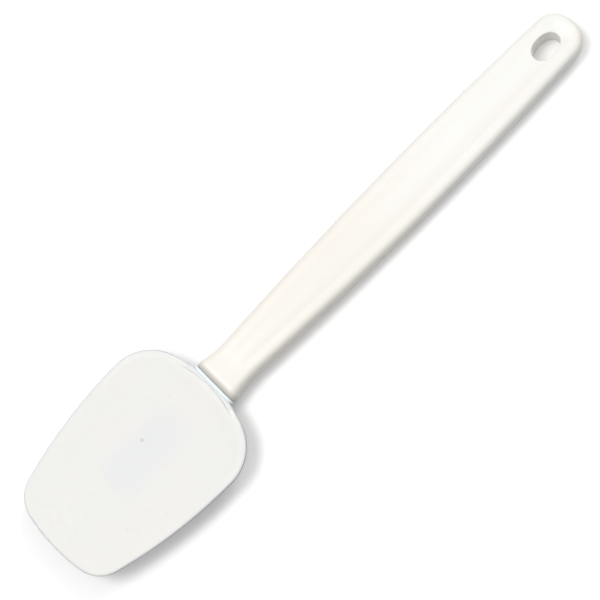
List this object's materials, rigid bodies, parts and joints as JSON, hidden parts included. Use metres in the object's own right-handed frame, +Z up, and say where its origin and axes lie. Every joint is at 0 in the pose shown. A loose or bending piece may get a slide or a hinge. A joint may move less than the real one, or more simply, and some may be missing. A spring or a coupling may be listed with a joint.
{
  "type": "silicone spoon",
  "caption": "Kitchen spoon with a shallow white silicone scoop head that slips off a rigid core set in a long flared plastic handle with an oval hanging hole.",
  "frame": {"origin": "on the plane that the spoon lies on, under the middle of its length and width", "axes": "+X along the spoon towards the butt of the handle, +Z up out of the bowl"},
  "size_m": [0.28, 0.0648, 0.0132],
  "materials": {
    "handle_plastic": "cream-white moulded plastic, satin",
    "core_plastic": "bluish-white moulded plastic, matt",
    "head_silicone": "white translucent silicone, soft satin"
  },
  "bodies": {
    "grip": {"handle": "handle_plastic", "core": "core_plastic"},
    "scoop": {"head": "head_silicone"}
  },
  "joints": [
    {"name": "head_slide", "type": "slide", "parent": "grip", "child": "scoop", "axis": [-1, 0, 0], "range_m": [0, 0.06]}
  ]
}
